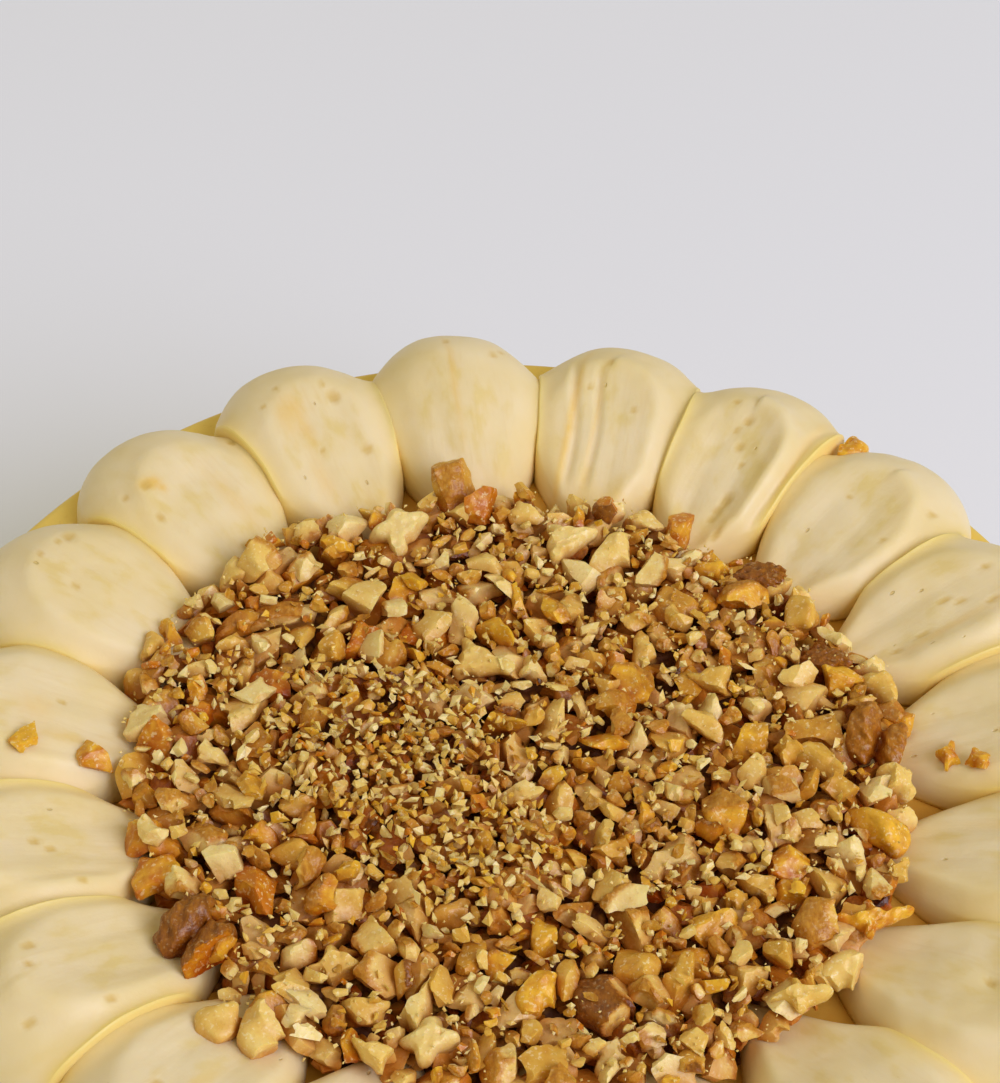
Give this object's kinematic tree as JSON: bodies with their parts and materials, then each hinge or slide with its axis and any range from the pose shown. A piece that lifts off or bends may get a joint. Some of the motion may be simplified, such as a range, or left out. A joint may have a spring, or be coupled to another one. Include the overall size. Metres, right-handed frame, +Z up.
{
  "type": "carrot layer cake",
  "caption": "Whole round layer cake under yellow cream, with a ring of piped cream petals and a heap of chopped walnuts over its middle.",
  "frame": {"origin": "middle of the cake's flat underside", "axes": "+Z up through the cake, -Y towards the front, +X to the right as seen from the front"},
  "size_m": [0.2306, 0.2288, 0.1021],
  "materials": {
    "yellow_cream_coat": "smooth soft cream, slightly glossy",
    "piped_cream": "smooth soft cream with spatula marks",
    "chopped_walnut": "broken, waxy"
  },
  "bodies": {
    "root": {"iced_cake": "yellow_cream_coat", "petal_01": "piped_cream", "petal_02": "piped_cream", "petal_03": "piped_cream", "petal_04": "piped_cream", "petal_05": "piped_cream", "petal_06": "piped_cream", "petal_07": "piped_cream", "petal_08": "piped_cream", "petal_09": "piped_cream", "petal_10": "piped_cream", "petal_11": "piped_cream", "petal_12": "piped_cream", "petal_13": "piped_cream", "petal_14": "piped_cream", "petal_15": "piped_cream", "petal_16": "piped_cream", "petal_17": "piped_cream", "petal_18": "piped_cream", "petal_19": "piped_cream", "walnut_heap": "chopped_walnut"}
  },
  "joints": []
}
